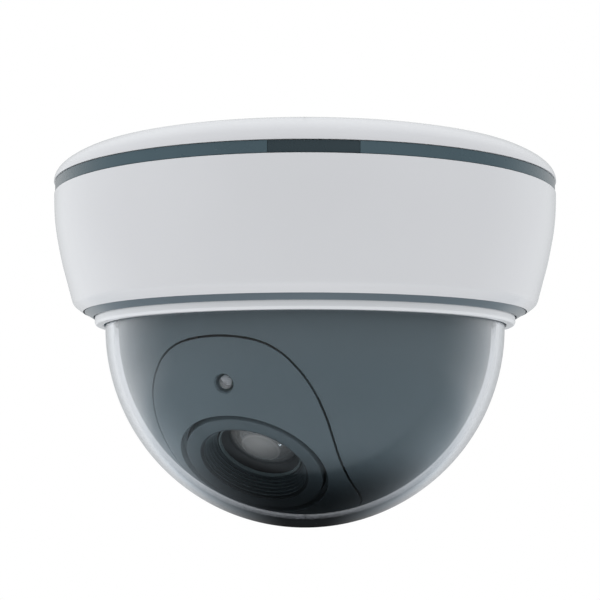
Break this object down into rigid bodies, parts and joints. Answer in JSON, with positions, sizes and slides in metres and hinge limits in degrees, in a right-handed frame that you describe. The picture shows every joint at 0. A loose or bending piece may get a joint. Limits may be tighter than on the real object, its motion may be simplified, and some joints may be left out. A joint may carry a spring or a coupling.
{
  "type": "ceiling dome camera",
  "caption": "Ceiling-mounted security dome camera: white drop-off cover, clear dome, and a panning, tilting liner ball with a rolling lens head.",
  "frame": {"origin": "centre of the flat ceiling face", "axes": "+Z out of the ceiling face, up into the ceiling; -Y is the housing's front; the dome hangs below"},
  "size_m": [0.12, 0.12, 0.0875],
  "materials": {
    "white_gloss": "gloss white moulded ABS",
    "white_lip": "semi-gloss white",
    "slate_band": "gloss dark slate",
    "grey_trim": "semi-gloss grey",
    "slate_liner": "satin dark slate",
    "black_plastic": "black moulded nylon",
    "black_rubber": "matt black rubber",
    "clear_dome": "polished clear polycarbonate",
    "clear_lamp": "water-clear epoxy",
    "lens_glass": "coated glass",
    "filter_glass": "coated filter glass",
    "steel": "zinc-plated steel",
    "zinc_sheet": "galvanised pressed sheet",
    "nylon": "natural nylon",
    "circuit_board": "green solder mask",
    "green_terminal": "green moulded plastic",
    "chip": "ceramic package with glass lid"
  },
  "bodies": {
    "base": {"base_plate": "white_gloss", "upper_trim_ring": "slate_band", "cable_grommet": "black_rubber", "main_board": "circuit_board", "power_terminal": "green_terminal", "video_terminal": "green_terminal", "board_capacitor": "black_plastic", "pan_washer": "nylon", "pan_spring_washer": "steel", "pan_screw": "steel", "board_screw_1": "steel", "board_screw_2": "steel"},
    "cover": {"cover_shell": "white_gloss", "lower_trim_ring": "grey_trim", "dome_retainer": "white_lip", "dome_window": "clear_dome", "dome_seal": "black_rubber", "dome_clamp_ring": "black_plastic", "clamp_screw_1": "steel", "clamp_screw_2": "steel", "clamp_screw_3": "steel"},
    "pan": {"turntable": "black_plastic", "pan_yoke": "zinc_sheet", "tilt_washer_right": "nylon", "tilt_washer_left": "nylon", "yoke_screw_1": "steel", "yoke_screw_2": "steel", "yoke_screw_3": "steel", "yoke_screw_4": "steel"},
    "ball": {"liner_shell": "slate_liner", "lens_cowl": "slate_liner", "status_lamp": "clear_lamp", "lamp_board": "circuit_board", "trunnion_screw_right": "steel", "trunnion_screw_left": "steel", "head_lock_ring": "black_plastic", "cowl_screw_1": "steel", "cowl_screw_2": "steel", "cowl_screw_3": "steel"},
    "head": {"lens_bezel": "slate_liner", "lens_holder": "black_plastic", "sensor_board": "circuit_board", "image_sensor": "chip", "ir_filter": "filter_glass", "sensor_connector": "nylon", "holder_screw_1": "steel", "holder_screw_2": "steel", "holder_screw_3": "steel", "holder_screw_4": "steel"},
    "focus": {"lens_barrel": "black_plastic", "front_element": "lens_glass", "rear_element": "lens_glass", "focus_lock_ring": "steel"}
  },
  "joints": [
    {"name": "cover_drop", "type": "slide", "parent": "base", "child": "cover", "axis": [0, 0, -1], "range_m": [0, 0.085]},
    {"name": "pan_turn", "type": "hinge", "parent": "base", "child": "pan", "pos_m": [0, 0, -0.04], "axis": [0, 0, 1], "range_deg": [-177, 177]},
    {"name": "tilt", "type": "hinge", "parent": "pan", "child": "ball", "pos_m": [0, 0, -0.04], "axis": [0.9026, -0.4305, 0], "range_deg": [-20, 20]},
    {"name": "lens_roll", "type": "hinge", "parent": "ball", "child": "head", "pos_m": [0, 0, -0.04], "axis": [-0.2703, -0.5668, -0.7782], "range_deg": [-90, 90]},
    {"name": "focus_turn", "type": "hinge", "parent": "head", "child": "focus", "pos_m": [0, 0, -0.04], "axis": [-0.2703, -0.5668, -0.7782], "range_deg": [-180, 180]}
  ]
}
